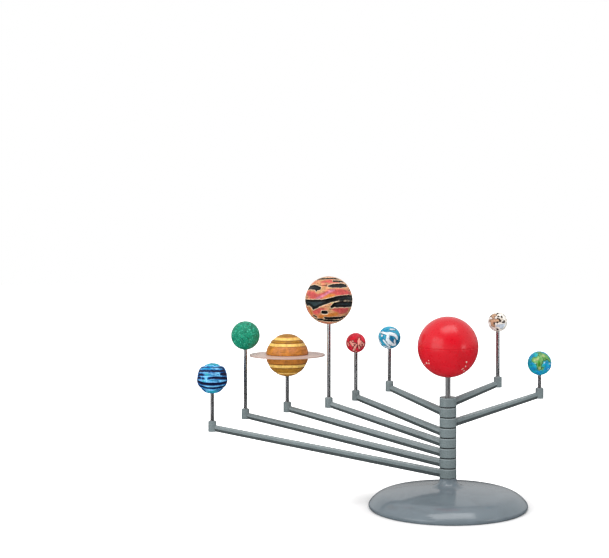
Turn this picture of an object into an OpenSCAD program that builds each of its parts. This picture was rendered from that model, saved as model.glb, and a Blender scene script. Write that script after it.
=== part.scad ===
// Desk-top orrery: eight planets on arms that swivel about one centre post, on a round domed base.
// Millimetres, +Z up. The origin is the middle of the base, in the plane that it stands on.

/* [Base] */
// Largest radius of the domed base
base_r = 65.2; // [63:0.1:66]
// Height of the crown where its arc meets the axis
crown_z = 17.4; // [17:0.1:18]
// Radius of the crown's shallow arc
crown_arc = 270; // [260:5:300]
// Radius of the arc that rounds the shoulder
shoulder_arc = 22; // [21:0.5:24]
// Radius of the arc that rounds the rim
rim_arc = 2.6; // [2.5:0.1:2.8]
// Slope, in degrees, at which the shoulder becomes the rim
rim_turn = 54; // [52:1:56]
// Height of the neck's top face, which the lowest arm turns on
neck_h = 24.1; // [24:0.1:26]
// Width of the concave flare between neck and crown
flare_w = 9; // [6:0.5:10]
// Height of that flare
flare_h = 6.4; // [5:0.1:6.4]
// Wall thickness of the base
base_wall = 2.2; // [1.8:0.1:3]
// Number of radial ribs under the base
rib_count = 4; // [3:1:8]

/* [Post and arm rings] */
// Diameter of the centre post
post_d = 4.4; // [4:0.1:5]
// Radial play between the post and the arm rings
post_play = 0.05; // [0.02:0.01:0.1]
// Outer diameter of the arm rings and of the neck
hub_d = 14.1; // [13:0.1:16]
// Height from one arm ring to the next
ring_pitch = 8.3; // [8:0.1:9]
// Play between neighbouring rings
ring_play = 0.12; // [0.1:0.01:0.2]
// Chamfer on the edges of the rings
ring_edge = 0.4; // [0.2:0.05:0.6]

/* [Arms] */
// Distance from the post to each planet's rod, from the innermost planet outwards
arm_len = [52, 66, 81.5, 96.5, 109, 144, 179, 197]; // [45:0.5:200]
// Direction of each arm at rest, in degrees from +X towards +Y
arm_turn = [32.5, 135.6, 16.2, 142, 155.3, 159.6, 163, 173.9]; // [0:0.1:180]
// Slope of each arm, in degrees
arm_rise = [14.4, 13.4, 14.6, 13.2, 13.8, 11.9, 10.2, 10]; // [10:0.1:15]
// Depth of an arm where it leaves its ring
arm_h = 6.4; // [5:0.1:6.5]
// Width of an arm where it leaves its ring
arm_w = 6; // [5:0.1:6.5]
// Size of an arm at its tip, against its root
arm_taper = 0.78; // [0.7:0.01:0.8]
// Outer diameter of the barrel socket at an arm's tip
socket_d = 6.8; // [6:0.1:7.5]
// Height of the barrel socket
socket_h = 9; // [8:0.1:9.5]
// How far the socket reaches below the arm's middle line
socket_drop = 3.1; // [3:0.1:3.4]
// Depth of the rod's hole in the socket
socket_bore = 6.6; // [5:0.1:7]

/* [Rods and planets] */
// Diameter of the steel rods
rod_d = 3.2; // [3:0.1:3.5]
// Length of rod to be seen between socket and planet, from the innermost planet outwards
rod_show = [37.7, 27.3, 10.4, 32.4, 62.4, 21.8, 50.5, 22.5]; // [8:0.1:65]
// Diameter of each planet, from the innermost outwards
planet_d = [16.7, 19.6, 20.4, 17.4, 41.2, 36.6, 25, 26]; // [15:0.1:42]
// Wall thickness of the hollow planets
planet_wall = 1.4; // [1.2:0.1:1.8]
// Outer diameter of Saturn's ring
saturn_ring_d = 64.8; // [60:0.1:64.8]
// Thickness of Saturn's ring
saturn_ring_t = 1.2; // [1:0.1:1.5]
// Diameter of the sun
sun_d = 50; // [48:0.5:50]
// Wall thickness of the sun
sun_wall = 1.8; // [1.5:0.1:2.5]
// Length of post to be seen between the top ring and the sun
sun_show = 15.9; // [14:0.1:20]

/* [Hidden] */
$fn = 96;
arc_n = 12;           // steps in each arc of the base's outline
push_play = 0.02;     // radial play of a push fit
lip_h = 1;            // height of the locating lip between two half shells
boss_wall = 1.3;      // wall of the boss around a rod, inside a ball
rod_reach = 3.5;      // how far a rod goes past the middle of its planet
post_reach = 9;       // how far the post goes past the middle of the sun
post_floor = 4;       // solid floor of the base under the post
foot_r = 6.5;         // radius of the base's middle foot
rib_t = 1.4;          // thickness of the ribs under the base
rib_clear = 3;        // height of the ribs' lower edges above the table
ball_rib_t = 1.2;     // thickness of the ribs inside the large balls
ribbed_ball_d = 30;   // a ball larger than this has ribs inside
pin_edge = 0.4;       // chamfer on the ends of post and rods
slab_t = 1;           // thickness of the end slabs that an arm is stretched between
arm_bury = 2.5;       // how far an arm reaches into its ring
arm_top = 0.45;       // half width of an arm's flat top and bottom, against its half width
arm_side = [0.8, 0.62];  // where an arm's side bends, against its half width and half depth
ring_core = 1;        // inner radius of a ring before the post's bore is cut
mouth_arc = 0.9;      // radius that rounds a socket's mouth
lip_seat = 0.3;       // depth to which the locating lip is set in its own half shell
over = 1;             // how far a cutting shape runs past what it cuts
eps = 0.01;

planets = ["mercury", "venus", "earth", "mars", "jupiter", "saturn", "uranus", "neptune"];
colours = ["linen", "skyblue", "deepskyblue", "tomato", "darksalmon", "goldenrod", "seagreen", "royalblue"];
count = len(planets);
last = count - 1;
saturn = 5;
hub_r = hub_d / 2;
stack_top = neck_h + count * ring_pitch;
sun_z = stack_top + sun_show + sun_d / 2;

// Heights of a planet's ring, of its arm's tip above the ring, of its socket's top and of its ball.
function ring_z(i) = neck_h + (last - i + 0.5) * ring_pitch;
function tip_rise(i) = (arm_len[i] - hub_r) * tan(arm_rise[i]);
function socket_top(i) = ring_z(i) + tip_rise(i) - socket_drop + socket_h;
function ball_z(i) = socket_top(i) + rod_show[i] + planet_d[i] / 2;
function seam_gap(i) = i == saturn ? saturn_ring_t : 0;

// Points of an arc about c with radius r, from slope a to just short of slope b, in degrees from the crown.
function arc(c, r, a, b) = [
    for (k = [0:arc_n - 1]) let (t = a + (b - a) * k / arc_n) c + r * [sin(t), cos(t)]
];
function along(a) = [sin(a), cos(a)];

// The base's outline: flare, crown, shoulder and rim run on smoothly from arc to arc.
crown_turn = asin(
    (base_r - shoulder_arc * sin(rim_turn) - rim_arc * (1 - sin(rim_turn))) / (crown_arc - shoulder_arc)
);
crown_c = [0, crown_z - crown_arc];
shoulder_c = crown_c + (crown_arc - shoulder_arc) * along(crown_turn);
rim_c = shoulder_c + (shoulder_arc - rim_arc) * along(rim_turn);
foot_turn = asin(min(rim_c[1] / rim_arc, 1));

// The flare is a quarter of an ellipse, carried on until its slope is the crown's.
flare_turn = atan(flare_w / flare_h * tan(asin((hub_r + flare_w) / crown_arc)));
crown_start = asin((hub_r + flare_w * (1 + sin(flare_turn))) / crown_arc);
flare_c = crown_c + crown_arc * along(crown_start) + [-flare_w * sin(flare_turn), flare_h * cos(flare_turn)];

// Half of the base's section, moved inwards by inset.
module base_outline(inset) {
    rim_r = max(rim_arc - inset, rim_arc / 2);
    polygon(concat(
        [[0, 0], [0, neck_h - inset], [hub_r - inset - ring_edge, neck_h - inset]],
        [[hub_r - inset, neck_h - inset - ring_edge]],
        [for (k = [0:arc_n - 1]) let (t = 270 - k * (90 + flare_turn) / arc_n)
            flare_c + [(flare_w + inset) * sin(t), (flare_h + inset) * cos(t)]],
        arc(crown_c, crown_arc - inset, crown_start, crown_turn),
        arc(shoulder_c, shoulder_arc - inset, crown_turn, rim_turn),
        arc(rim_c, rim_r, rim_turn, 90 + foot_turn),
        [[rim_c[0] + rim_r * cos(foot_turn), 0]]
    ));
}

// Half of the hollow's section, between the middle foot and the rim's inner wall.
module hollow_outline() {
    intersection() {
        union() {
            base_outline(base_wall);
            translate([0, -over]) square([base_r, over + rim_c[1]]);
        }
        translate([foot_r, -over]) square([base_r - 2 * base_wall - foot_r, neck_h]);
    }
}

module base_dome() {
    color("slategray") difference() {
        union() {
            difference() {
                rotate_extrude() base_outline(0);
                rotate_extrude() hollow_outline();
            }
            intersection() {
                rotate_extrude() base_outline(base_wall / 2);
                for (k = [0:rib_count - 1]) rotate(k * 360 / rib_count)
                    translate([foot_r - over, -rib_t / 2, rib_clear]) cube([base_r, rib_t, neck_h]);
            }
        }
        translate([0, 0, post_floor]) cylinder(d = post_d + 2 * push_play, h = neck_h);
    }
}

// A straight pin with chamfered ends.
module pin(d, h) {
    cylinder(d1 = d - 2 * pin_edge, d2 = d, h = pin_edge);
    translate([0, 0, pin_edge]) cylinder(d = d, h = h - 2 * pin_edge);
    translate([0, 0, h - pin_edge]) cylinder(d1 = d, d2 = d - 2 * pin_edge, h = pin_edge);
}

module centre_post() {
    color("darkgray") translate([0, 0, post_floor]) pin(post_d, sun_z + post_reach - post_floor);
}

// One arm ring, centred on the origin.
module ring() {
    h = ring_pitch - ring_play;
    rotate_extrude() polygon([
        [ring_core, -h / 2], [hub_r - ring_edge, -h / 2], [hub_r, ring_edge - h / 2],
        [hub_r, h / 2 - ring_edge], [hub_r - ring_edge, h / 2], [ring_core, h / 2]
    ]);
}

// Cross-section of an arm: widest at mid height, where a ridge runs along each side.
module arm_section(size) {
    w = arm_w * size / 2;
    h = arm_h * size / 2;
    top = arm_top * w;
    bend = [arm_side[0] * w, arm_side[1] * h];
    rotate([90, 0, 90]) linear_extrude(slab_t) polygon([
        [w, 0], bend, [top, h], [-top, h], [-bend[0], bend[1]],
        [-w, 0], -bend, [-top, -h], [top, -h], [bend[0], -bend[1]]
    ]);
}

module arm_bar(i) {
    root = hub_r - arm_bury;
    hull() {
        translate([root, 0, (root - hub_r) * tan(arm_rise[i])]) arm_section(1);
        translate([arm_len[i] - slab_t, 0, tip_rise(i)]) arm_section(arm_taper);
    }
}

// Barrel socket with a rounded mouth, standing on its own foot.
module socket() {
    r = socket_d / 2;
    rotate_extrude() polygon(concat(
        [[0, 0], [r, 0]],
        [for (k = [0:6]) [r - mouth_arc, socket_h - mouth_arc] + mouth_arc * along(90 - 15 * k)],
        [[0, socket_h]]
    ));
}

module arm(i) {
    color("slategray") translate([0, 0, ring_z(i)]) rotate(arm_turn[i]) difference() {
        union() {
            ring();
            arm_bar(i);
            translate([arm_len[i], 0, tip_rise(i) - socket_drop]) socket();
        }
        cylinder(r = post_d / 2 + post_play, h = 2 * ring_pitch, center = true);
        translate([arm_len[i], 0, tip_rise(i) - socket_drop + socket_h - socket_bore])
            cylinder(d = rod_d + 2 * push_play, h = 2 * socket_bore);
    }
}

module at_tip(i, z) {
    rotate(arm_turn[i]) translate([arm_len[i], 0, z]) children();
}

module rod(i) {
    foot = socket_top(i) - socket_bore;
    color("silver") at_tip(i, foot) pin(rod_d, ball_z(i) + rod_reach - foot);
}

// Lower or upper half of a hollow ball about the origin, with a boss around the rod that carries it.
// gap is what lies between the halves, and reach is how far the rod goes past the middle.
module half_ball(d, wall, bore, reach, gap, upper) {
    r = d / 2;
    step = r - wall / 2;
    far = upper ? reach : r;
    difference() {
        union() {
            difference() {
                sphere(r = r);
                sphere(r = r - wall);
            }
            intersection() {
                sphere(r = r - wall / 3);
                union() {
                    cylinder(r = bore / 2 + boss_wall, h = d, center = true);
                    if (d > ribbed_ball_d) difference() {
                        for (a = [0, 90]) rotate(a) cube([d, ball_rib_t, d], center = true);
                        cylinder(r = d, h = 4 * lip_h + gap, center = true);
                    }
                }
            }
        }
        // the other half's space
        translate([0, 0, upper ? gap / 2 - d : d - gap / 2]) cube([2 * d, 2 * d, 2 * d], center = true);
        if (upper) translate([0, 0, -eps]) difference() {
            cylinder(r = step + push_play, h = gap / 2 + lip_h + eps);
            cylinder(r = r - wall - push_play, h = d, center = true);
        }
        translate([0, 0, upper ? -eps : -d]) cylinder(d = bore + 2 * push_play, h = upper ? far + eps : 2 * d);
    }
    if (!upper) translate([0, 0, -gap / 2 - lip_seat]) difference() {
        cylinder(r = step - push_play, h = gap + lip_h);
        translate([0, 0, -over]) cylinder(r = r - wall, h = d);
    }
}

module planet_half(i, upper) {
    color(colours[i]) at_tip(i, ball_z(i))
        half_ball(planet_d[i], planet_wall, rod_d, rod_reach, seam_gap(i), upper);
}

module sun_half(upper) {
    color("crimson") translate([0, 0, sun_z]) half_ball(sun_d, sun_wall, post_d, post_reach, 0, upper);
}

// Saturn's flat ring, held between the two halves of the ball.
module saturn_ring() {
    hole_r = planet_d[saturn] / 2 - planet_wall / 2 + push_play;
    color("mistyrose") at_tip(saturn, ball_z(saturn)) difference() {
        cylinder(d = saturn_ring_d, h = saturn_ring_t - 2 * eps, center = true);
        cylinder(r = hole_r, h = 2 * saturn_ring_t, center = true);
    }
}

base_dome();
centre_post();
sun_half(true);  // sun_upper
sun_half(false);  // sun_lower
saturn_ring();
for (i = [0:last]) {
    arm(i);
    rod(i);
    planet_half(i, true);
    planet_half(i, false);
}
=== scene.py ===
import math

import bpy
import numpy as np
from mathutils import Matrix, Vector, noise


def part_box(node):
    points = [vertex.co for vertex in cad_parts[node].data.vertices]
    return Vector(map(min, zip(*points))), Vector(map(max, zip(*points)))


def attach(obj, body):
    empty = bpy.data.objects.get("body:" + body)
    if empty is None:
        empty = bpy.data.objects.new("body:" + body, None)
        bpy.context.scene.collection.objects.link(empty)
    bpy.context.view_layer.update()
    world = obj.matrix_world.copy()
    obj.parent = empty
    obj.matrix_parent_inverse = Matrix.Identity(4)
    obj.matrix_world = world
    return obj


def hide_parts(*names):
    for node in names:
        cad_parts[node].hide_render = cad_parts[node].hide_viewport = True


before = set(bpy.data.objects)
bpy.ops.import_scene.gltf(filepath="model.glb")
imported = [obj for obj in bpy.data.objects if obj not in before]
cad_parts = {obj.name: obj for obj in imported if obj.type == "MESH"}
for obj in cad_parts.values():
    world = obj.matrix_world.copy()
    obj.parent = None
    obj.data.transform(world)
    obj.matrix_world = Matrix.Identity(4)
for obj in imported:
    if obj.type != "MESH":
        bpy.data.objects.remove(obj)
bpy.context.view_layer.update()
mm = 0.001
driftSeed = 11
noise.seed_set(driftSeed)  # unset, the marks on the far sides would differ each run
planetNames = ["mercury", "venus", "earth", "mars", "jupiter", "saturn", "uranus", "neptune"]


def deselectAll():
    for item in bpy.context.selected_objects:
        item.select_set(False)


def activate(item):
    deselectAll()
    item.select_set(True)
    bpy.context.view_layer.objects.active = item


def addNode(tree, kind, inputs=None, **settings):
    made = tree.nodes.new(kind)
    for key, value in settings.items():
        setattr(made, key, value)
    for key, value in (inputs or {}).items():
        if isinstance(value, bpy.types.NodeSocket):
            tree.links.new(value, made.inputs[key])
        else:
            made.inputs[key].default_value = value
    return made


def mathOf(tree, a, b, operation="ADD"):
    return addNode(tree, "ShaderNodeMath", {0: a, 1: b}, operation=operation).outputs[0]


def mixColour(tree, factor, a, b, blend="MIX"):
    made = addNode(tree, "ShaderNodeMix", {0: factor, 6: a, 7: b}, data_type="RGBA", blend_type=blend)
    return made.outputs[2]


def smoothStep(tree, value, low, high, start=0.0, end=1.0):
    inputs = {"Value": value, "From Min": low, "From Max": high, "To Min": start, "To Max": end}
    made = addNode(tree, "ShaderNodeMapRange", inputs, interpolation_type="SMOOTHSTEP")
    return made.outputs["Result"]


def noiseAt(tree, place, scale, detail=3.0, rough=0.55, stretch=(1, 1, 1), distort=0.0):
    moved = addNode(tree, "ShaderNodeMapping", {"Vector": place, "Scale": stretch})
    inputs = {"Vector": moved.outputs[0], "Scale": scale, "Detail": detail, "Roughness": rough,
              "Distortion": distort}
    return addNode(tree, "ShaderNodeTexNoise", inputs).outputs["Fac"]


def rgb(red, green, blue):  # a screen colour, 0 to 255, as the shader wants it
    straight = [c / 255 for c in (red, green, blue)]
    return tuple(c / 12.92 if c <= 0.04045 else ((c + 0.055) / 1.055) ** 2.4 for c in straight) + (1.0,)


def newMaterial(name):
    made = bpy.data.materials.new(name)
    made.use_nodes = True
    tree = made.node_tree
    place = addNode(tree, "ShaderNodeTexCoord").outputs["Object"]
    return made, tree, tree.nodes["Principled BSDF"], place


def readField(tree, name):  # a painted field that the mesh carries
    return addNode(tree, "ShaderNodeAttribute", attribute_name=name).outputs["Fac"]


def newGroup(name, inputs, outputs):
    group = bpy.data.node_groups.new(name, "ShaderNodeTree")
    kinds = {"colour": "NodeSocketColor", "value": "NodeSocketFloat"}
    for label, kind in inputs.items():
        group.interface.new_socket(label, in_out="INPUT", socket_type=kinds[kind])
    for label, kind in outputs.items():
        group.interface.new_socket(label, in_out="OUTPUT", socket_type=kinds[kind])
    return group, addNode(group, "NodeGroupInput").outputs, addNode(group, "NodeGroupOutput").inputs


# Brush-laid craft paint: patchy cover, fine streaks, a little grit.
def makePaintGroup():
    group, given, put = newGroup(
        "brushPaint", {"Colour": "colour", "Patchy": "value"},
        {"Colour": "colour", "Roughness": "value", "Height": "value"})
    place = addNode(group, "ShaderNodeTexCoord").outputs["Object"]
    cover = noiseAt(group, place, 300, 4, 0.65)
    streak = noiseAt(group, place, 420, 3, 0.6, (1, 1, 3.5), 0.6)
    grit = noiseAt(group, place, 1500, 2, 0.5)
    shade = smoothStep(group, cover, 0.32, 0.66, 0.6, 1.22)
    fine = smoothStep(group, streak, 0.3, 0.7, 0.8, 1.16)
    both = mathOf(group, shade, fine, "MULTIPLY")
    grey = addNode(group, "ShaderNodeCombineXYZ", {0: both, 1: both, 2: both}).outputs[0]
    shaded = mixColour(group, 1.0, given["Colour"], grey, "MULTIPLY")
    group.links.new(mixColour(group, given["Patchy"], given["Colour"], shaded), put["Colour"])
    group.links.new(smoothStep(group, cover, 0.2, 0.8, 0.34, 0.52), put["Roughness"])
    height = mathOf(group, streak, mathOf(group, grit, 0.35, "MULTIPLY"))
    group.links.new(height, put["Height"])
    return group


# Injection-moulded plastic: faint flow clouds, a fine skin, specks of dust.
def makePlasticGroup():
    group, given, put = newGroup(
        "mouldedSkin", {"Colour": "colour", "Dust": "value"},
        {"Colour": "colour", "Roughness": "value", "Height": "value"})
    place = addNode(group, "ShaderNodeTexCoord").outputs["Object"]
    flow = noiseAt(group, place, 45, 4, 0.6, (1, 1, 2), 1.0)
    skin = noiseAt(group, place, 900, 3, 0.6)
    speck = noiseAt(group, place, 2600, 2, 0.5)
    value = smoothStep(group, flow, 0.3, 0.7, 0.93, 1.06)
    grey = addNode(group, "ShaderNodeCombineXYZ", {0: value, 1: value, 2: value}).outputs[0]
    tinted = mixColour(group, 1.0, given["Colour"], grey, "MULTIPLY")
    dusty = mathOf(group, smoothStep(group, speck, 0.62, 0.74), given["Dust"], "MULTIPLY")
    group.links.new(mixColour(group, dusty, tinted, rgb(205, 208, 208)), put["Colour"])
    dull = mathOf(group, dusty, 0.3, "MULTIPLY")
    rough = mathOf(group, smoothStep(group, skin, 0.3, 0.7, 0.0, 0.09), dull)
    group.links.new(rough, put["Roughness"])
    group.links.new(mathOf(group, skin, mathOf(group, flow, 2.0, "MULTIPLY")), put["Height"])
    return group


brushPaint = makePaintGroup()
mouldedSkin = makePlasticGroup()
print("shared effects ready")


def useGroup(tree, group, inputs):
    return addNode(tree, "ShaderNodeGroup", inputs, node_tree=group).outputs


def bumpFrom(tree, shader, height, strength, distance=0.0002):
    inputs = {"Height": height, "Strength": strength, "Distance": distance}
    tree.links.new(addNode(tree, "ShaderNodeBump", inputs).outputs[0], shader.inputs["Normal"])


plasticLook = {
    "base": {"colour": rgb(113, 124, 131), "rough": 0.1, "dust": 0.02, "bump": 0.02},
    "arm": {"colour": rgb(120, 132, 134), "rough": 0.24, "dust": 0.05, "bump": 0.05},
}
# The arm colours hold painted light: a painted shade for down-facing faces, a painted shadow line at each
# ring seam and a painted highlight on the ring lips.
ringSeams = {
    "lowest": 24.1 * mm, "pitch": 8.3 * mm, "inner": 6.2 * mm, "outer": 7.6 * mm,
    "gap": rgb(44, 50, 50), "lip": rgb(152, 164, 166), "underShade": rgb(58, 64, 65), "fade": 0.2 * mm,
    "under": (-0.2, -0.04, 0.8, 0.0),
    "lipFrom": (0.84, 0.88), "lipTo": (0.93, 0.95), "gapFrom": (0.94, 0.96), "gapTo": (0.06, 0.1),
}


def makePlastic(name, look):
    made, tree, shader, place = newMaterial(name)
    skin = useGroup(tree, mouldedSkin, {"Colour": look["colour"], "Dust": look["dust"]})
    tree.links.new(skin["Colour"], shader.inputs["Base Color"])
    tree.links.new(mathOf(tree, skin["Roughness"], look["rough"]), shader.inputs["Roughness"])
    bumpFrom(tree, shader, skin["Height"], look["bump"])
    return made, tree, shader, skin["Colour"], place


# Painted shade on the bars' down-facing faces, painted shadow lines where ring meets ring and painted
# highlights on the ring lips beside them.
def makeArmPlastic(look, seams):
    made, tree, shader, colour, place = makePlastic("arm_plastic", look)
    facing = addNode(tree, "ShaderNodeNewGeometry").outputs["True Normal"]
    down = addNode(tree, "ShaderNodeSeparateXYZ", {0: facing}).outputs[2]
    # painted shade: darker where the faces turn downward
    colour = mixColour(tree, smoothStep(tree, down, *seams["under"]), colour, seams["underShade"])
    apart = addNode(tree, "ShaderNodeSeparateXYZ", {0: place}).outputs
    flat = addNode(tree, "ShaderNodeCombineXYZ", {0: apart[0], 1: apart[1]}).outputs[0]
    radius = addNode(tree, "ShaderNodeVectorMath", {0: flat}, operation="LENGTH").outputs["Value"]
    outside = smoothStep(tree, radius, seams["inner"], seams["inner"] + seams["fade"])
    inside = smoothStep(tree, radius, seams["outer"], seams["outer"] + seams["fade"], 1.0, 0.0)
    onRing = mathOf(tree, outside, inside, "MULTIPLY")
    level = mathOf(tree, mathOf(tree, apart[2], seams["lowest"], "SUBTRACT"), seams["pitch"], "DIVIDE")
    share = mathOf(tree, level, 1.0, "FRACT")
    # painted highlight on the ring lips next to each seam
    lipTo = smoothStep(tree, share, *seams["lipTo"], 1.0, 0.0)
    lip = mathOf(tree, smoothStep(tree, share, *seams["lipFrom"]), lipTo, "MULTIPLY")
    # painted shadow line in the ring seam where one ring meets the next
    gapTo = smoothStep(tree, share, *seams["gapTo"], 1.0, 0.0)
    gap = mathOf(tree, smoothStep(tree, share, *seams["gapFrom"]), gapTo, "MAXIMUM")
    colour = mixColour(tree, mathOf(tree, lip, onRing, "MULTIPLY"), colour, seams["lip"])
    colour = mixColour(tree, mathOf(tree, gap, onRing, "MULTIPLY"), colour, seams["gap"])
    tree.links.new(colour, shader.inputs["Base Color"])
    return made


metalLook = {
    "rod": {"colour": rgb(205, 204, 206), "rough": 0.14, "metal": 1.0, "drawn": 0.10,
            "smudge": rgb(168, 166, 166)},
    "post": {"colour": rgb(150, 152, 154), "rough": 0.30, "metal": 0.85, "drawn": 0.14,
             "smudge": rgb(168, 166, 166)},
}


def makeMetal(name, look):  # drawn wire: scratches run along it, with a few dull smudges
    made, tree, shader, place = newMaterial(name)
    drawn = noiseAt(tree, place, 1800, 3, 0.6, (1, 1, 0.03))
    smudge = noiseAt(tree, place, 130, 3, 0.6)
    colour = mixColour(tree, smoothStep(tree, smudge, 0.35, 0.75), look["colour"], look["smudge"])
    tree.links.new(colour, shader.inputs["Base Color"])
    rough = mathOf(tree, smoothStep(tree, drawn, 0.3, 0.7, 0.0, look["drawn"]), look["rough"])
    tree.links.new(rough, shader.inputs["Roughness"])
    shader.inputs["Metallic"].default_value = look["metal"]
    bumpFrom(tree, shader, drawn, 0.08, 0.0001)
    return made


# Places on a ball are given as across, up and toward its face, in parts of its radius.
def faceAxes(turn, lean):  # right, above and toward, seen from the side that the ball's face is turned to
    turned, leaned = math.radians(turn), math.radians(lean)
    right = np.array([math.cos(turned), math.sin(turned), 0])
    level = np.array([math.sin(turned), -math.cos(turned), 0])
    toward = math.cos(leaned) * level + math.sin(leaned) * np.array([0, 0, 1.0])
    return right, np.cross(toward, right), toward


def facePlaces(points, turn, lean):
    return np.stack([points @ axis for axis in faceAxes(turn, lean)], axis=1)


def foldToFace(places, drift):  # the far side repeats the face's marks, drifting away from them
    far = np.clip(-places[:, 2], 0, 1)[:, None]
    folded = places.copy()
    folded[:, 2] = np.abs(folded[:, 2])
    wander = np.array([noise.noise_vector(Vector(p) * 1.6) for p in places])
    folded = folded + drift * far * wander
    return folded / np.linalg.norm(folded, axis=1)[:, None]


def onFace(across, up):
    return np.array([across, up, math.sqrt(max(0.0, 1 - across * across - up * up))])


def markField(places, marks):  # how far inside the nearest mark each place is, in parts of the radius
    field = np.full(len(places), -1.0)
    for mark in marks:
        steps = list(zip(mark, mark[1:])) or [(mark[0], mark[0])]
        for (acrossA, upA, wideA), (acrossB, upB, wideB) in steps:
            start, end = onFace(acrossA, upA), onFace(acrossB, upB)
            run = end - start
            along = np.clip((places - start) @ run / max(run @ run, 1e-9), 0, 1)
            near = start + along[:, None] * run
            near = near / np.linalg.norm(near, axis=1)[:, None]
            away = np.linalg.norm(places - near, axis=1)
            field = np.maximum(field, wideA + (wideB - wideA) * along - away)
    return field


def roughen(places, scale, amount, seed=0.0):
    offset = Vector((seed, seed * 1.7, -seed))
    return amount * np.array([noise.noise(Vector(p) * scale + offset) for p in places])


def ease(values, low, high):
    t = np.clip((values - low) / (high - low), 0, 1)
    return t * t * (3 - 2 * t)


def bandField(heights, bands):  # how far inside the nearest band of latitude, in parts of the radius
    return np.max([np.minimum(heights - low, high - heights) for low, high in bands], axis=0)


def paintFields(look, places, heights):
    folded = foldToFace(places, look.get("drift", 0.3))
    fields = {}
    for name, marks in look.get("marks", {}).items():
        field = markField(folded, marks)
        wobble = look.get("wobble", 0.015)
        fields[name] = field + roughen(places, look.get("wobbleScale", 7), wobble, len(name))
    for name, bands in look.get("bands", {}).items():
        fields[name] = bandField(heights + roughen(places, 3, look.get("wobble", 0.004), 2.0), bands)
    return fields


def reliefOf(look, places, heights, fields):
    relief = np.zeros(len(places))
    for name, low, high, depth in look.get("relief", []):
        relief += depth * ease(fields[name], low, high)
    for scale, depth in look.get("grain", []):
        relief -= depth * (0.5 + roughen(places, scale, 0.5, scale))
    if "girth" in look:
        girth = np.array(look["girth"])
        relief += np.interp(heights, girth[:, 0], girth[:, 1])
    return relief


ballBuild = {
    "segments": 192, "seam": 0.12 * mm, "near": 0.03 * mm, "outer": 0.6, "pole": 0.99999, "smooth": 50,
}


def clearSelection(mesh):
    for elements in (mesh.edges, mesh.vertices, mesh.polygons):
        elements.foreach_set("select", [False] * len(elements))


def makeHalf(name, look, centre, radius, upper, hole, wall):
    deselectAll()
    segments = look.get("segments", ballBuild["segments"])
    split = look.get("split", 0.0) * (1 if upper else -1)
    bpy.ops.mesh.primitive_uv_sphere_add(segments=segments, ring_count=segments // 2, radius=radius)
    half = bpy.context.object
    half.name = name
    half.data.name = name
    bpy.ops.object.mode_set(mode="EDIT")
    bpy.ops.mesh.select_all(action="SELECT")
    bpy.ops.mesh.bisect(
        plane_co=(0, 0, split), plane_no=(0, 0, 1), clear_inner=upper, clear_outer=not upper,
        threshold=1e-6)
    bpy.ops.mesh.select_all(action="DESELECT")
    bpy.ops.object.mode_set(mode="OBJECT")
    mesh = half.data
    if not upper:  # open the pole for the rod
        for vertex in mesh.vertices:
            vertex.select = vertex.co.z < -ballBuild["pole"] * radius
        bpy.ops.object.mode_set(mode="EDIT")
        bpy.ops.mesh.delete(type="VERT")
        bpy.ops.object.mode_set(mode="OBJECT")
    unit = np.array([v.co for v in mesh.vertices]) / radius
    if not upper:  # the ring left at the pole becomes the rod's hole
        step = 2 * math.pi / segments
        angle = np.arccos(np.clip(-unit[:, 2], -1, 1))
        opened, rim = math.asin(hole / radius), math.acos(-split / radius)
        angle = opened + (angle - step) * (rim - opened) / (rim - step)
        turned = np.arctan2(unit[:, 1], unit[:, 0])
        across = np.sin(angle)
        unit = np.stack([across * np.cos(turned), across * np.sin(turned), -np.cos(angle)], axis=1)
    places = facePlaces(unit, look["turn"], look["lean"])
    fields = paintFields(look, places, unit[:, 2])
    relief = reliefOf(look, places, unit[:, 2], fields)
    shaped = unit * (radius * (1 + relief))[:, None]
    mesh.vertices.foreach_set("co", (shaped + np.array(centre)).ravel())
    for label, values in fields.items():
        mesh.attributes.new(label, "FLOAT", "POINT").data.foreach_set("value", values.astype(np.float32))
    mesh.update()
    activate(half)
    thick = half.modifiers.new("wall", "SOLIDIFY")
    thick.thickness = wall
    thick.offset = -1
    bpy.ops.object.modifier_apply(modifier="wall")
    seamEdges = []
    level = centre[2] + split
    for edge in mesh.edges:
        ends = [mesh.vertices[v].co for v in edge.vertices]
        flat = all(abs(end.z - level) < ballBuild["near"] for end in ends)
        reaches = [math.hypot(end.x - centre[0], end.y - centre[1]) for end in ends]
        outside = min(reaches) > radius - wall * ballBuild["outer"]
        if flat and outside:
            seamEdges.append(edge.index)
    clearSelection(mesh)
    for index in seamEdges:
        mesh.edges[index].select = True
    bpy.ops.object.mode_set(mode="EDIT")
    bpy.ops.mesh.select_mode(type="EDGE")
    bpy.ops.mesh.bevel(offset=ballBuild["seam"], segments=1, affect="EDGES")
    bpy.ops.mesh.select_all(action="DESELECT")
    bpy.ops.object.mode_set(mode="OBJECT")
    bpy.ops.object.shade_smooth_by_angle(angle=math.radians(ballBuild["smooth"]))
    return half


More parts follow.
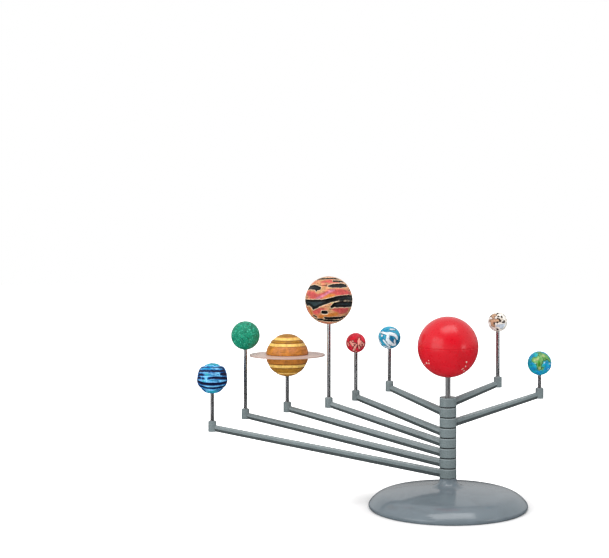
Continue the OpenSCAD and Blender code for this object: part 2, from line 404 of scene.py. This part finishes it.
# A ground coat and the layers brushed over it, each where its field says.
def makePaint(name, look):
    made, tree, shader, place = newMaterial(name)
    ragged = mathOf(tree, noiseAt(tree, place, look.get("raggedScale", 700), 3, 0.6), 0.5, "SUBTRACT")
    ragged = mathOf(tree, ragged, look.get("ragged", 0.05), "MULTIPLY")
    colour = look["ground"]
    if "mottle" in look:
        second, scale, low, high = look["mottle"]
        blotch = noiseAt(tree, place, scale, 4, 0.6)
        colour = mixColour(tree, smoothStep(tree, blotch, low, high), colour, second)
    for scale, flatter, low, high, tint in look.get("streaks", []):
        streak = noiseAt(tree, place, scale, 3, 0.6, (1, 1, flatter), 0.4)
        colour = mixColour(tree, smoothStep(tree, streak, low, high), colour, tint)
    for field, low, high, tint in look.get("layers", []):
        edge = mathOf(tree, readField(tree, field), ragged)
        colour = mixColour(tree, smoothStep(tree, edge, low, high), colour, tint)
    paint = useGroup(tree, brushPaint, {"Colour": colour, "Patchy": look.get("patchy", 0.7)})
    tree.links.new(paint["Colour"], shader.inputs["Base Color"])
    tree.links.new(mathOf(tree, paint["Roughness"], look.get("gloss", 0.0)), shader.inputs["Roughness"])
    shader.inputs["Specular IOR Level"].default_value = look.get("shine", 0.3)
    shader.inputs["Coat Weight"].default_value = look.get("coat", 0.0)
    shader.inputs["Coat Roughness"].default_value = look.get("coatRough", 0.15)
    bumpFrom(tree, shader, paint["Height"], look.get("bump", 0.25), look.get("bumpDepth", 0.15 * mm))
    return made


def makeBall(name, look, body, hole, wall):
    low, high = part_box(name + "_upper")
    radius = (high.x - low.x) / 2
    middle = high.z - radius
    centre = ((low.x + high.x) / 2, (low.y + high.y) / 2, middle)
    paint = makePaint(name + "_paint", look)
    for part, upper in (("upper", True), ("lower", False)):
        half = makeHalf(f"{name}_{part}_shell", look, centre, radius, upper, hole, wall)
        half.data.materials.clear()
        half.data.materials.append(paint)
        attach(half, body)
        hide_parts(f"{name}_{part}")
    print("ball ready:", name)
    return centre, radius


planetBuild = {"wall": 1.4 * mm, "hole": 1.62 * mm}

jupiter = {
    "slot": "jupiter_paint", "turn": 2, "lean": 3, "segments": 256, "drift": 0.35, "wobble": 0.012,
    "ground": rgb(224, 172, 118), "mottle": (rgb(222, 134, 102), 150, 0.4, 0.62),
    "streaks": [(150, 7, 0.55, 0.61, rgb(140, 74, 54))],
    "marks": {
        "ink": [
            [(-0.47, 0.87, 0.02), (-0.2, 0.905, 0.03), (0.15, 0.915, 0.03), (0.38, 0.9, 0.02)],
            [(-0.86, 0.5, 0.05), (-0.62, 0.55, 0.07), (-0.42, 0.5, 0.05)],
            [(-0.52, 0.5, 0.04), (-0.52, 0.42, 0.01)],
            [(0, 0.6, 0.005), (0.15, 0.6, 0.045), (0.45, 0.61, 0.07), (0.66, 0.62, 0.045),
             (0.73, 0.61, 0.02)],
            [(0.2, 0.8, 0.004), (0.45, 0.79, 0.014), (0.58, 0.78, 0.018)],
            [(-0.99, -0.06, 0.05), (-0.8, -0.1, 0.09), (-0.63, -0.17, 0.16), (-0.4, -0.11, 0.1),
             (-0.14, -0.06, 0.055), (0.1, 0.02, 0.045), (0.35, 0.07, 0.06), (0.7, 0.095, 0.075),
             (0.98, 0.09, 0.075)],
            [(-0.6, -0.2, 0.1), (-0.66, -0.34, 0.01)], [(-0.95, -0.08, 0.05), (-0.91, -0.19, 0.01)],
            [(0.11, -0.27, 0.01), (0.25, -0.19, 0.06), (0.5, -0.165, 0.085), (0.8, -0.165, 0.085),
             (0.96, -0.17, 0.07)],
            [(-0.25, -0.5, 0.035), (-0.13, -0.5, 0.04)],
            [(-0.14, -0.74, 0.025), (0.2, -0.745, 0.035), (0.5, -0.725, 0.03), (0.66, -0.69, 0.015)],
            [(-0.58, -0.765, 0.015), (-0.3, -0.81, 0.035), (0.1, -0.85, 0.03), (0.4, -0.85, 0.025),
             (0.56, -0.79, 0.01)],
            [(-0.61, -0.65, 0.015), (-0.54, -0.69, 0.02)],
        ],
        "rosy": [
            [(-0.85, 0.3, 0.1), (-0.65, 0.2, 0.14), (-0.45, 0.13, 0.1), (-0.2, 0.25, 0.09),
             (0.1, 0.37, 0.08), (0.35, 0.33, 0.12), (0.6, 0.32, 0.15), (0.85, 0.27, 0.12)],
            [(-0.3, 0.76, 0.05), (0, 0.79, 0.08), (0.3, 0.76, 0.06)],
            [(-0.62, -0.5, 0.08), (-0.4, -0.42, 0.12), (-0.25, -0.38, 0.06)],
            [(0.2, -0.38, 0.04), (0.5, -0.42, 0.13), (0.75, -0.4, 0.12)],
        ],
        "lilac": [[(-0.5, 0.08, 0.04), (-0.2, 0.2, 0.04), (0.05, 0.38, 0.05), (0.2, 0.42, 0.03)]],
        "amber": [
            [(-0.2, 0.09, 0.03), (0, 0.18, 0.07), (0.2, 0.2, 0.04)],
            [(-0.35, -0.68, 0.08), (0.05, -0.62, 0.1), (0.3, -0.57, 0.08)],
            [(-0.8, -0.35, 0.05), (-0.72, -0.55, 0.07)],
        ],
        "cream": [[(0.15, -0.1, 0.03), (0.3, -0.06, 0.02)]],
    },
    "layers": [
        ("rosy", -0.08, 0.05, rgb(206, 84, 80)), ("lilac", -0.05, 0.04, rgb(214, 126, 150)),
        ("amber", -0.08, 0.05, rgb(206, 122, 46)), ("cream", -0.05, 0.01, rgb(232, 222, 132)),
        ("ink", -0.08, -0.06, rgb(250, 222, 186)), ("ink", -0.062, -0.038, rgb(6, 8, 8)),
        ("ink", 0.03, 0.09, rgb(44, 62, 66)),
    ],
    "relief": [("ink", -0.06, -0.01, -0.045), ("rosy", -0.06, 0.06, -0.01)],
    "grain": [(14, 0.014), (40, 0.006)],
    "patchy": 0.75, "ragged": 0.05, "bump": 0.8, "bumpDepth": 0.3 * mm,
}
makeBall("jupiter", jupiter, "jupiter", planetBuild["hole"], planetBuild["wall"])

saturn = {
    "slot": "saturn_paint", "turn": 4, "lean": 0, "split": 0.6 * mm, "segments": 256, "wobble": 0.004,
    "ground": rgb(208, 134, 52), "mottle": (rgb(206, 134, 84), 90, 0.45, 0.7),
    "streaks": [(90, 12, 0.56, 0.64, rgb(176, 108, 36))],
    "bands": {
        "pale": [(0.735, 0.86), (0.455, 0.6), (-0.55, -0.4), (-0.86, -0.8)],
        "ochre": [(0.88, 1.1), (0.615, 0.72), (-0.78, -0.57), (-1.1, -0.88)],
        "umber": [(0.6, 0.62), (0.44, 0.455), (-0.4, -0.36), (-0.57, -0.55), (0.02, 0.05), (0.72, 0.735)],
        "rust": [(-0.36, 0)],
    },
    "layers": [
        ("rust", -0.01, 0.03, rgb(192, 120, 42)), ("ochre", -0.01, 0.012, rgb(176, 122, 30)),
        ("pale", -0.006, 0.014, rgb(252, 208, 112)), ("umber", -0.014, 0.004, rgb(136, 78, 14)),
    ],
    "relief": [("pale", -0.01, 0.012, -0.012), ("umber", -0.012, 0.004, -0.016)], "grain": [(30, 0.006)],
    "patchy": 0.6, "ragged": 0.016, "raggedScale": 400, "bump": 0.6, "bumpDepth": 0.3 * mm,
}
makeBall("saturn", saturn, "saturn", planetBuild["hole"], planetBuild["wall"])

neptune = {
    "slot": "neptune_paint", "turn": 7, "lean": 7, "drift": 0.3, "wobble": 0.014,
    "ground": rgb(0, 142, 202), "mottle": (rgb(40, 176, 222), 220, 0.45, 0.7),
    "streaks": [(130, 9, 0.5, 0.56, rgb(130, 204, 246)), (150, 9, 0.54, 0.6, rgb(0, 52, 122))],
    "marks": {
        "ink": [
            [(-0.7, 0.66, 0.03), (-0.3, 0.7, 0.02), (0.1, 0.69, 0.02), (0.45, 0.68, 0.045),
             (0.7, 0.62, 0.05)],
            [(-0.88, 0.44, 0.05), (-0.6, 0.47, 0.035), (-0.2, 0.46, 0.03), (0.1, 0.44, 0.04),
             (0.5, 0.44, 0.035), (0.8, 0.47, 0.07)],
            [(0.58, 0.26, 0.05), (0.72, 0.26, 0.085), (0.93, 0.25, 0.08)],
            [(-0.9, 0.24, 0.06), (-0.68, 0.25, 0.045), (-0.56, 0.22, 0.02)],
            [(-0.98, 0.03, 0.04), (-0.8, 0.04, 0.04)], [(-0.64, 0.0, 0.035), (-0.6, 0.0, 0.035)],
            [(-0.25, 0.0, 0.025), (0.1, 0.03, 0.05), (0.5, 0.0, 0.055), (0.8, 0.0, 0.06),
             (0.97, -0.04, 0.06)],
            [(-0.98, -0.14, 0.05), (-0.75, -0.28, 0.07), (-0.4, -0.36, 0.06), (0, -0.38, 0.065),
             (0.4, -0.37, 0.06), (0.7, -0.33, 0.06), (0.96, -0.23, 0.06)],
            [(-0.9, -0.42, 0.05), (-0.65, -0.53, 0.05), (-0.3, -0.64, 0.055), (0.1, -0.66, 0.065),
             (0.5, -0.6, 0.055), (0.88, -0.46, 0.05)],
            [(-0.73, -0.66, 0.03), (-0.48, -0.82, 0.035)], [(0.65, -0.72, 0.035), (0.42, -0.88, 0.035)],
        ],
        "teal": [[(-0.2, 0.9, 0.1), (0.3, 0.9, 0.1)], [(-0.3, -0.86, 0.04), (0.2, -0.87, 0.06)],
                 [(-0.4, 0.27, 0.04), (-0.3, 0.22, 0.04)], [(-0.58, -0.18, 0.05), (-0.56, -0.2, 0.05)]],
        "light": [[(-0.5, 0.8, 0.02), (0.2, 0.78, 0.02), (0.6, 0.7, 0.015)],
                  [(-0.8, 0.35, 0.03), (-0.3, 0.36, 0.035)],
                  [(-0.9, 0.14, 0.03), (-0.4, 0.1, 0.03), (0.2, 0.12, 0.03), (0.8, 0.13, 0.02)],
                  [(-0.85, -0.13, 0.03), (-0.5, -0.2, 0.03)], [(-0.4, -0.05, 0.05), (-0.35, -0.25, 0.03)],
                  [(-0.6, -0.45, 0.04), (-0.2, -0.52, 0.05), (0.4, -0.5, 0.04), (0.75, -0.4, 0.03)],
                  [(-0.4, -0.74, 0.02), (0.2, -0.76, 0.02)], [(0.5, -0.17, 0.03), (0.8, -0.13, 0.04)]],
    },
    "layers": [
        ("light", -0.05, 0.01, rgb(120, 206, 252)), ("teal", -0.08, 0.04, rgb(14, 168, 178)),
        ("ink", -0.08, -0.035, rgb(10, 88, 168)), ("ink", -0.035, -0.01, rgb(0, 12, 56)),
    ],
    "relief": [("ink", -0.05, 0.01, -0.035)], "grain": [(10, 0.012)],
    "girth": [(-1, -0.03), (-0.9, 0.0), (-0.75, -0.03), (-0.62, -0.045), (-0.45, 0.0), (-0.2, 0.0),
              (0.1, -0.035),
              (0.4, -0.01), (0.62, 0.03), (0.72, 0.035), (0.82, -0.045), (0.9, -0.02), (1, -0.01)],
    "patchy": 0.6, "ragged": 0.05, "bump": 0.8, "bumpDepth": 0.3 * mm,
}
makeBall("neptune", neptune, "neptune", planetBuild["hole"], planetBuild["wall"])

uranus = {
    "slot": "uranus_paint", "turn": 6, "lean": 5,
    "ground": rgb(0, 140, 106), "mottle": (rgb(0, 160, 126), 620, 0.5, 0.58),
    "streaks": [(900, 1, 0.54, 0.58, rgb(0, 112, 84)), (1000, 1, 0.57, 0.62, rgb(84, 206, 170))],
    "grain": [(14, 0.016), (26, 0.02)], "patchy": 0.8, "bump": 1.0, "gloss": -0.08, "bumpDepth": 0.5 * mm,
}
makeBall("uranus", uranus, "uranus", planetBuild["hole"], planetBuild["wall"])

mars = {
    "slot": "mars_paint", "turn": 0, "lean": 5, "drift": 0.4, "wobble": 0.03,
    "ground": rgb(212, 8, 38), "mottle": (rgb(232, 50, 72), 260, 0.45, 0.65),
    "marks": {
        "dust": [
            [(-0.84, 0.02, 0.04), (-0.82, -0.15, 0.08), (-0.76, -0.3, 0.05)],
            [(-0.55, 0.08, 0.09), (-0.42, -0.12, 0.1), (-0.3, -0.28, 0.08)],
            [(-0.42, -0.12, 0.06), (-0.05, -0.06, 0.04)],
            [(-0.3, 0.16, 0.05), (-0.29, 0.15, 0.05)],
            [(0.08, -0.2, 0.04), (-0.06, -0.45, 0.08), (-0.22, -0.78, 0.1)],
            [(0.36, 0.43, 0.04), (0.33, 0.15, 0.12), (0.3, -0.2, 0.08)],
            [(0.33, 0.15, 0.1), (0.58, 0.08, 0.06)],
            [(0.35, 0.0, 0.1), (0.7, -0.06, 0.06)], [(0.5, -0.1, 0.05), (0.56, -0.34, 0.04)],
            [(0.33, -0.4, 0.07), (0.38, -0.6, 0.05)], [(0.85, -0.12, 0.07), (0.78, -0.3, 0.05)],
            [(0.0, -0.9, 0.06), (0.1, -0.9, 0.05)],
        ],
    },
    "layers": [("dust", -0.12, -0.06, rgb(92, 0, 10)), ("dust", -0.045, -0.015, rgb(255, 166, 150))],
    "relief": [("dust", -0.1, -0.02, -0.03), ("dust", -0.02, 0.03, 0.03)],
    "grain": [(8, 0.02), (22, 0.016)],
    "patchy": 0.8, "ragged": 0.06, "raggedScale": 900, "bump": 1.0, "bumpDepth": 0.3 * mm,
}
makeBall("mars", mars, "mars", planetBuild["hole"], planetBuild["wall"])

venus = {
    "slot": "venus_paint", "turn": -1, "lean": 5, "drift": 0.4, "wobble": 0.03,
    "ground": rgb(60, 184, 220), "mottle": (rgb(10, 132, 172), 300, 0.42, 0.62),
    "marks": {
        "cloud": [
            [(-0.6, 0.44, 0.07), (-0.35, 0.36, 0.08), (-0.05, 0.34, 0.12), (0.25, 0.3, 0.12),
             (0.48, 0.22, 0.12), (0.62, 0.05, 0.1), (0.68, -0.12, 0.05)],
            [(-0.1, 0.25, 0.12), (-0.13, 0.08, 0.1), (-0.18, -0.2, 0.13), (0.02, -0.45, 0.14),
             (0.35, -0.66, 0.1), (0.5, -0.62, 0.08), (0.48, -0.4, 0.06), (0.45, -0.22, 0.04)],
            [(-0.52, -0.24, 0.05), (-0.2, -0.6, 0.07), (0.0, -0.8, 0.06)],
            [(-0.45, -0.76, 0.06), (-0.1, -0.9, 0.07), (0.1, -0.95, 0.05)],
            [(-0.95, -0.05, 0.06), (-0.85, -0.35, 0.08), (-0.72, -0.55, 0.06)],
            [(0.1, 0.72, 0.06), (0.45, 0.7, 0.05)],
            [(-0.66, 0.15, 0.07), (-0.65, 0.16, 0.07)], [(-0.78, 0.5, 0.03), (-0.72, 0.42, 0.04)],
        ],
        "deep": [[(0.17, 0.15, 0.06), (0.22, -0.17, 0.16), (0.35, -0.52, 0.08)],
                 [(0.7, -0.36, 0.16), (0.72, -0.5, 0.1)],
                 [(0.92, -0.05, 0.12), (0.9, 0.05, 0.1)], [(0.2, -0.84, 0.06), (0.4, -0.82, 0.06)]],
    },
    "layers": [
        ("deep", -0.08, 0.05, rgb(0, 108, 156)), ("cloud", -0.1, -0.05, rgb(0, 90, 120)),
        ("cloud", -0.045, -0.015, rgb(228, 242, 250)),
    ],
    "relief": [("cloud", -0.06, 0.0, 0.03)], "grain": [(9, 0.03), (24, 0.012)],
    "patchy": 0.6, "ragged": 0.06, "raggedScale": 900, "bump": 1.0, "bumpDepth": 0.3 * mm,
}
makeBall("venus", venus, "venus", planetBuild["hole"], planetBuild["wall"])

mercury = {
    "slot": "mercury_paint", "turn": -6, "lean": 4, "drift": 0.4, "wobble": 0.035,
    "ground": rgb(255, 251, 244), "mottle": (rgb(226, 212, 196), 320, 0.45, 0.65),
    "marks": {
        "tan": [
            [(-0.55, 0.66, 0.14), (-0.35, 0.72, 0.12), (-0.2, 0.66, 0.06)],
            [(-0.5, 0.55, 0.08), (-0.42, 0.42, 0.07)],
            [(-0.8, 0.1, 0.05), (-0.5, 0.14, 0.12), (-0.36, 0.1, 0.15), (-0.05, 0.15, 0.09),
             (0.25, 0.12, 0.07)],
            [(-0.6, -0.05, 0.1), (-0.55, -0.3, 0.14), (-0.45, -0.38, 0.1)],
        ],
        "spot": [
            [(0.06, 0.57, 0.05), (0.07, 0.56, 0.05)], [(0.38, 0.55, 0.045), (0.4, 0.5, 0.05)],
            [(0.24, 0.16, 0.05), (0.22, 0.05, 0.05)], [(0.66, 0.1, 0.05), (0.64, -0.02, 0.055)],
            [(0.5, -0.02, 0.04), (0.52, -0.04, 0.04)], [(-0.06, -0.04, 0.04), (0.0, -0.02, 0.035)],
            [(-0.35, -0.1, 0.035), (-0.35, -0.2, 0.03)], [(-0.08, -0.72, 0.04), (0.0, -0.82, 0.05)],
            [(-0.03, 0.36, 0.03), (0.14, 0.28, 0.03)], [(-0.85, 0.5, 0.03), (-0.7, 0.6, 0.03)],
            [(-0.12, 0.76, 0.025), (0.02, 0.9, 0.03)], [(0.6, 0.72, 0.025), (0.72, 0.6, 0.03)],
        ],
        "lilac": [[(0.0, -0.4, 0.14), (0.3, -0.42, 0.18), (0.6, -0.35, 0.15)],
                  [(0.3, -0.62, 0.08), (0.5, -0.6, 0.08)]],
    },
    "layers": [
        ("lilac", -0.06, 0.02, rgb(204, 214, 226)), ("tan", -0.1, -0.055, rgb(116, 84, 62)),
        ("tan", -0.05, 0.0, rgb(212, 170, 136)), ("spot", -0.075, -0.045, rgb(120, 96, 76)),
        ("spot", -0.045, -0.02, rgb(26, 16, 8)),
    ],
    "relief": [("tan", -0.08, 0, -0.018), ("spot", -0.05, 0.0, -0.045)], "grain": [(9, 0.03), (24, 0.014)],
    "patchy": 0.6, "ragged": 0.06, "raggedScale": 900, "bump": 1.0, "bumpDepth": 0.3 * mm,
}
makeBall("mercury", mercury, "mercury", planetBuild["hole"], planetBuild["wall"])

earth = {
    "slot": "earth_paint", "turn": -8, "lean": 6, "drift": 0.4, "wobble": 0.03,
    "ground": rgb(0, 146, 206), "mottle": (rgb(6, 170, 184), 240, 0.42, 0.6),
    "marks": {
        "land": [
            [(-0.45, 0.28, 0.16), (-0.25, 0.22, 0.22), (-0.05, 0.15, 0.22)],
            [(-0.15, 0.3, 0.14), (-0.1, 0.45, 0.1)],
            [(-0.08, 0.1, 0.2), (-0.04, -0.15, 0.16), (-0.02, -0.35, 0.12), (0.0, -0.52, 0.05)],
            [(0.05, 0.2, 0.1), (0.16, 0.02, 0.06)],
            [(0.05, 0.7, 0.12), (0.25, 0.66, 0.18), (0.55, 0.55, 0.2)],
            [(0.1, 0.5, 0.08), (0.24, 0.24, 0.06)], [(0.4, 0.55, 0.14), (0.42, 0.3, 0.05)],
            [(0.6, 0.5, 0.16), (0.78, 0.3, 0.1), (0.85, 0.22, 0.06)],
            [(0.26, -0.38, 0.03), (0.22, -0.5, 0.02)],
            [(-0.2, 0.85, 0.03), (0.05, 0.88, 0.05)],
        ],
        "forest": [[(-0.05, 0.12, 0.08), (-0.02, -0.2, 0.1)], [(0.44, 0.4, 0.06), (0.5, 0.3, 0.03)],
                   [(0.7, 0.45, 0.08), (0.85, 0.3, 0.05)]],
        "sand": [[(-0.4, 0.24, 0.05), (-0.15, 0.3, 0.06), (-0.1, 0.42, 0.03)],
                 [(-0.02, -0.45, 0.06), (0, -0.35, 0.04)],
                 [(0.25, 0.62, 0.06), (0.34, 0.58, 0.05)]],
        "foam": [[(0.8, -0.06, 0.035), (0.97, -0.04, 0.03)], [(0.38, 0.02, 0.03), (0.44, 0.06, 0.03)],
                 [(0.15, -0.04, 0.02), (0.18, -0.02, 0.02)], [(-0.4, 0.0, 0.02), (-0.3, -0.04, 0.02)],
                 [(0.7, -0.5, 0.02), (0.78, -0.42, 0.02)]],
    },
    "layers": [
        ("land", -0.16, -0.11, rgb(70, 190, 184)), ("land", -0.1, -0.06, rgb(22, 84, 52)),
        ("land", -0.045, -0.015, rgb(118, 176, 100)),
        ("forest", -0.06, 0.05, rgb(74, 148, 36)), ("sand", -0.06, 0.03, rgb(176, 184, 126)),
        ("foam", -0.03, 0.02, rgb(210, 236, 244)),
    ],
    "relief": [("land", -0.08, -0.03, 0.03)], "grain": [(9, 0.03), (24, 0.014)],
    "patchy": 0.8, "ragged": 0.07, "raggedScale": 800, "bump": 1.0, "bumpDepth": 0.3 * mm,
}
makeBall("earth", earth, "earth", planetBuild["hole"], planetBuild["wall"])

sun = {
    "slot": "sun_red", "turn": -4, "lean": 5, "segments": 256,
    "ground": rgb(216, 10, 32), "mottle": (rgb(209, 6, 28), 60, 0.45, 0.65),
    "patchy": 0.03, "gloss": -0.12, "bump": 0.01, "coat": 0.3, "coatRough": 0.2,
    "wall": 1.8 * mm, "hole": 2.22 * mm,
}
sunCentre, sunRadius = makeBall("sun", sun, "stand", sun["hole"], sun["wall"])

glowDots = {
    "colour": rgb(250, 244, 232), "dull": rgb(226, 214, 190), "size": 0.5 * mm, "flat": 0.45, "tall": 1.25,
    "least": 0.75, "spread": 0.25 / 3, "sunk": 0.08,
    "places": [(-0.62, -0.44), (-0.69, -0.52), (-0.61, -0.53), (-0.75, -0.58),
               (0.6, -0.48), (0.57, -0.62), (0.485, -0.69), (0.45, -0.72), (0.52, -0.76)],
}


# Dabs of glow paint on the sun, on its face and, turned about, on the far side.
def makeGlowDots(look):
    made, tree, shader, place = newMaterial("glow_paint")
    cloud = noiseAt(tree, place, 900, 3, 0.6)
    tint = mixColour(tree, smoothStep(tree, cloud, 0.35, 0.7), look["colour"], look["dull"])
    tree.links.new(tint, shader.inputs["Base Color"])
    tree.links.new(smoothStep(tree, cloud, 0.3, 0.7, 0.3, 0.5), shader.inputs["Roughness"])
    bumpFrom(tree, shader, cloud, 0.2)
    dots = []
    for turned, lean in ((sun["turn"], sun["lean"]), (sun["turn"] + 180, 0)):
        axes = faceAxes(turned, lean)
        for count, (across, up) in enumerate(look["places"]):
            face = onFace(across, up)
            outward = Vector(sum(axis * part for axis, part in zip(axes, face)))
            deselectAll()
            size = look["size"] * (look["least"] + look["spread"] * (count * 5 % 7))
            bpy.ops.mesh.primitive_ico_sphere_add(subdivisions=3, radius=size)
            dot = bpy.context.object
            dot.scale = (1, look["tall"], look["flat"])
            dot.rotation_euler = outward.to_track_quat("Z", "Y").to_euler()
            dot.location = Vector(sunCentre) + outward * (sunRadius - size * look["sunk"])
            bpy.ops.object.transform_apply(location=True, rotation=True, scale=True)
            dots.append(dot)
    deselectAll()
    for dot in dots:
        dot.select_set(True)
    bpy.context.view_layer.objects.active = dots[0]
    bpy.ops.object.join()
    joined = bpy.context.object
    joined.name = "sun_glow_dots"
    bpy.ops.object.shade_smooth()
    joined.data.materials.append(made)
    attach(joined, "stand")
    print("glow dots ready")


makeGlowDots(glowDots)


def dress(node, material):
    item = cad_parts[node]
    item.data.materials.clear()
    item.data.materials.append(material)


ringLook = {
    "colour": rgb(246, 216, 202), "edge": rgb(216, 188, 176), "line": rgb(204, 176, 168),
    "clear": 0.2, "rim": 1.4 * mm,
}


def makeRingPlastic(look):  # thin clear-pink sheet, ringed by fine turned lines
    made, tree, shader, place = newMaterial("ring_plastic")
    low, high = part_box("saturn_ring")
    middle = (low + high) / 2
    moved = {"Vector": place, "Location": (-middle.x, -middle.y, 0)}
    centred = addNode(tree, "ShaderNodeMapping", moved).outputs[0]
    apart = addNode(tree, "ShaderNodeSeparateXYZ", {0: centred}).outputs
    flat = addNode(tree, "ShaderNodeCombineXYZ", {0: apart[0], 1: apart[1]}).outputs[0]
    radius = addNode(tree, "ShaderNodeVectorMath", {0: flat}, operation="LENGTH").outputs["Value"]
    onlyRadius = addNode(tree, "ShaderNodeCombineXYZ", {0: radius}).outputs[0]
    turned = {"Vector": onlyRadius, "Scale": 700, "Detail": 4}
    lines = addNode(tree, "ShaderNodeTexNoise", turned).outputs["Fac"]
    reach = (high.x - low.x) / 2
    rim = smoothStep(tree, radius, reach - look["rim"], reach)
    colour = mixColour(tree, smoothStep(tree, lines, 0.4, 0.7), look["colour"], look["line"])
    tree.links.new(mixColour(tree, rim, colour, look["edge"]), shader.inputs["Base Color"])
    tree.links.new(smoothStep(tree, lines, 0.3, 0.7, 0.25, 0.4), shader.inputs["Roughness"])
    shader.inputs["Transmission Weight"].default_value = look["clear"]
    bumpFrom(tree, shader, lines, 0.3)
    return made


basePlastic = makePlastic("base_plastic", plasticLook["base"])[0]
armPlastic = makeArmPlastic(plasticLook["arm"], ringSeams)
rodSteel = makeMetal("rod_steel", metalLook["rod"])
postSteel = makeMetal("post_steel", metalLook["post"])
dress("base_dome", basePlastic)
dress("centre_post", postSteel)
dress("saturn_ring", makeRingPlastic(ringLook))
for planet in planetNames:
    dress(planet + "_arm", armPlastic)
    dress(planet + "_rod", rodSteel)
print("CAD nodes dressed")


studio = {
    "floorSize": 8.0, "floorColour": rgb(254, 254, 254), "floorCloud": rgb(250, 250, 250),
    "floorMirrored": rgb(70, 72, 74), "floorBounce": rgb(235, 235, 235), "fadeFrom": 0.055, "fadeTo": 0.15,
    "lights": [
        {"name": "overhead", "from": (0.05, -0.25, 1.1), "size": (0.85, 0.5), "power": 4.6, "shine": True},
        {"name": "left_box", "from": (-0.86, -0.83, 0.42), "size": (1.0, 1.0), "power": 6.0, "shine": True},
        {"name": "right_box", "from": (1.0, -0.64, 0.16), "size": (0.3, 0.3), "power": 1.1, "shine": True},
        {"name": "front_fill", "from": (-0.1, -1.6, 0.05), "size": (1.6, 0.8), "power": 6.5,
         "shine": False},
    ],
    "aim": (-0.02, 0.0, 0.11),
}


def makeFloor(look):
    deselectAll()
    bpy.ops.mesh.primitive_plane_add(size=look["floorSize"], location=(0, 0, 0))
    floor = bpy.context.object
    floor.name = "studio_floor"
    made, tree, shader, place = newMaterial("floor_paper")
    cloud = noiseAt(tree, place, 3, 3, 0.5)
    light = mixColour(tree, cloud, look["floorColour"], look["floorCloud"])
    rays = addNode(tree, "ShaderNodeLightPath").outputs
    seen = rays["Is Camera Ray"]
    bounced = mixColour(tree, rays["Is Diffuse Ray"], look["floorMirrored"], look["floorBounce"])
    tree.links.new(mixColour(tree, seen, bounced, light), shader.inputs["Base Color"])
    away = addNode(tree, "ShaderNodeVectorMath", {0: place}, operation="LENGTH").outputs["Value"]
    glow = mathOf(tree, smoothStep(tree, away, look["fadeFrom"], look["fadeTo"]), seen, "MULTIPLY")
    tree.links.new(mixColour(tree, glow, rgb(0, 0, 0), rgb(255, 255, 255)), shader.inputs["Emission Color"])
    shader.inputs["Emission Strength"].default_value = 1.0
    shader.inputs["Roughness"].default_value = 0.9
    shader.inputs["Specular IOR Level"].default_value = 0.1
    floor.data.materials.append(made)


def makeLights(look):
    aim = Vector(look["aim"])
    for given in look["lights"]:
        data = bpy.data.lights.new(given["name"], "AREA")
        data.shape = "RECTANGLE"
        data.size, data.size_y = given["size"]
        data.energy = given["power"]
        lamp = bpy.data.objects.new(given["name"], data)
        lamp.location = given["from"]
        lamp.rotation_euler = (aim - lamp.location).to_track_quat("-Z", "Y").to_euler()
        lamp.visible_glossy = given["shine"]
        bpy.context.scene.collection.objects.link(lamp)


# Ranges along Y and Z, each as from, to and the two strengths.
worldLook = {"front": (-0.9, -0.2, 0.06, 0.75), "above": (-0.3, 0.3, 0.1, 1.0), "soft": 0.35}


# White to look at; as a light it is bright above and behind, dim in front and below.
def makeWorld(look):
    world = bpy.data.worlds.new("studio")
    bpy.context.scene.world = world
    world.use_nodes = True
    tree = world.node_tree
    tree.nodes.clear()
    way = addNode(tree, "ShaderNodeTexCoord").outputs["Generated"]
    apart = addNode(tree, "ShaderNodeSeparateXYZ", {0: way}).outputs
    front = smoothStep(tree, apart[1], *look["front"])
    above = smoothStep(tree, apart[2], *look["above"])
    rays = addNode(tree, "ShaderNodeLightPath").outputs
    soft = mathOf(tree, rays["Is Diffuse Ray"], look["soft"], "MULTIPLY")
    strength = mathOf(tree, mathOf(tree, front, above, "MULTIPLY"), soft, "MAXIMUM")
    full = mathOf(tree, strength, rays["Is Camera Ray"], "MAXIMUM")
    back = addNode(tree, "ShaderNodeBackground", {"Color": (1, 1, 1, 1), "Strength": full})
    out = addNode(tree, "ShaderNodeOutputWorld")
    tree.links.new(back.outputs[0], out.inputs[0])


cameraLook = {"place": (-0.0672, -1.0136, 0.2273), "lens": 73.06, "shift": (-0.101, -0.0805)}


def makeCamera(look):
    data = bpy.data.cameras.new("camera")
    data.lens = look["lens"]
    data.shift_x, data.shift_y = look["shift"]
    camera = bpy.data.objects.new("camera", data)
    camera.location = look["place"]
    camera.rotation_euler = (math.radians(90), 0, 0)
    bpy.context.scene.collection.objects.link(camera)
    bpy.context.scene.camera = camera


makeFloor(studio)
makeLights(studio)
makeWorld(worldLook)
makeCamera(cameraLook)
bpy.context.scene.view_settings.view_transform = "Standard"
print("studio ready")
